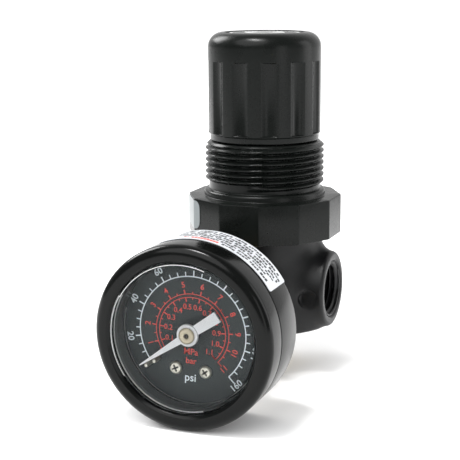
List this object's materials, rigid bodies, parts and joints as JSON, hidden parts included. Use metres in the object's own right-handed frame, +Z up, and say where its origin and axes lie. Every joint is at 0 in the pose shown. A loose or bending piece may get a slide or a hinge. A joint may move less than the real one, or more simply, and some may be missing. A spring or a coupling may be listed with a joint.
{
  "type": "air pressure regulator",
  "caption": "Miniature relieving air pressure regulator with a fluted locking adjusting knob, a threaded panel-mount neck, threaded pipe ports and a small dial pressure gauge on its front port.",
  "frame": {"origin": "point where the inlet-to-outlet pipe axis crosses the regulator's own vertical axis", "axes": "+X along the pipe axis towards the outlet port, +Z up along the adjusting knob, and the gauge faces -Y"},
  "size_m": [0.0424, 0.0739, 0.0854],
  "materials": {
    "body_paint": "satin black paint over die-cast zinc",
    "black_acetal": "satin moulded acetal",
    "gauge_plastic": "semi-gloss black ABS",
    "clear_lens": "clear polycarbonate",
    "dial_paint": "matt dark printed aluminium",
    "pointer_paint": "matt white painted aluminium",
    "brass": "machined brass",
    "nickel": "nickel plated steel",
    "steel": "zinc plated steel",
    "rubber": "nitrile rubber",
    "white_label": "printed white vinyl",
    "silver_label": "silver-grey vinyl"
  },
  "bodies": {
    "housing": {"body": "body_paint", "bonnet": "black_acetal", "thrust_washer": "black_acetal", "gauge_case": "gauge_plastic", "gauge_bezel": "gauge_plastic", "dial_spacer": "gauge_plastic", "gauge_lens": "clear_lens", "gauge_dial": "dial_paint", "bottom_plug": "brass", "bourdon_tube": "brass", "movement_plate_front": "brass", "movement_plate_back": "brass", "movement_pillar_left": "brass", "movement_pillar_right": "brass", "gauge_stem": "brass", "dial_screw_left": "nickel", "dial_screw_right": "nickel", "stop_pin_outer": "nickel", "stop_pin_inner": "nickel", "rear_port_plug": "steel", "valve_spring": "steel", "regulating_spring": "steel", "knob_detent_ring": "steel", "hairspring": "steel", "stem_restrictor": "steel", "case_screw_top": "steel", "case_screw_bottom": "steel", "bottom_plug_oring": "rubber", "diaphragm": "rubber", "lens_gasket": "rubber", "case_label": "white_label", "bonnet_label": "silver_label"},
    "adjuster": {"adjusting_screw": "steel"},
    "knob_body": {"knob": "black_acetal", "knob_cover": "black_acetal"},
    "travelling_nut": {"spring_nut": "brass"},
    "diaphragm_centre": {"diaphragm_plate": "steel", "relief_seat": "brass"},
    "valve_poppet": {"valve": "brass", "valve_seal": "rubber", "valve_oring": "rubber"},
    "pointer_arbor": {"pointer": "pointer_paint", "pointer_hub": "brass", "pinion": "brass"},
    "sector": {"sector_gear": "brass"},
    "link_bar": {"link": "brass"},
    "tube_end": {"tube_tip": "brass"}
  },
  "joints": [
    {"name": "knob_turn", "type": "hinge", "parent": "housing", "child": "adjuster", "pos_m": [0, 0, 0.045], "axis": [0, 0, 1], "range_deg": [-1800, 0]},
    {"name": "knob_lock", "type": "slide", "parent": "adjuster", "child": "knob_body", "axis": [0, 0, 1], "range_m": [0, 0.003]},
    {"name": "nut_travel", "type": "slide", "parent": "housing", "child": "travelling_nut", "axis": [0, 0, 1], "range_m": [-0.00625, 0], "deforming": ["regulating_spring"]},
    {"name": "diaphragm_stroke", "type": "slide", "parent": "housing", "child": "diaphragm_centre", "axis": [0, 0, 1], "range_m": [-0.0012, 0], "stiffness_N_per_m": 300, "springref_m": 0.001, "deforming": ["diaphragm"]},
    {"name": "valve_stroke", "type": "slide", "parent": "housing", "child": "valve_poppet", "axis": [0, 0, 1], "range_m": [-0.0012, 0], "deforming": ["valve_spring"]},
    {"name": "pointer_turn", "type": "hinge", "parent": "housing", "child": "pointer_arbor", "pos_m": [0, -0.0479, 0], "axis": [0, 1, 0], "range_deg": [0, 261], "deforming": ["hairspring"]},
    {"name": "sector_swing", "type": "hinge", "parent": "housing", "child": "sector", "pos_m": [0, -0.0444, -0.009], "axis": [0, 1, 0], "range_deg": [-32.7, 0]},
    {"name": "link_swing", "type": "hinge", "parent": "sector", "child": "link_bar", "pos_m": [-0.00307, -0.04345, -0.00505], "axis": [0, 1, 0], "range_deg": [0, 32.7]},
    {"name": "tube_tip_travel", "type": "slide", "parent": "housing", "child": "tube_end", "axis": [-0.585, 0, -0.811], "range_m": [0, 0.0028], "stiffness_N_per_m": 300, "springref_m": -0.0004, "deforming": ["bourdon_tube"]}
  ],
  "couplings": [
    {"joint": "nut_travel", "follows": "knob_turn", "m_per_rad": 0.00019894},
    {"joint": "valve_stroke", "follows": "diaphragm_stroke", "ratio": 1},
    {"joint": "pointer_turn", "follows": "tube_tip_travel", "rad_per_m": 1626.8},
    {"joint": "sector_swing", "follows": "tube_tip_travel", "rad_per_m": -203.35},
    {"joint": "link_swing", "follows": "tube_tip_travel", "rad_per_m": 203.35}
  ]
}
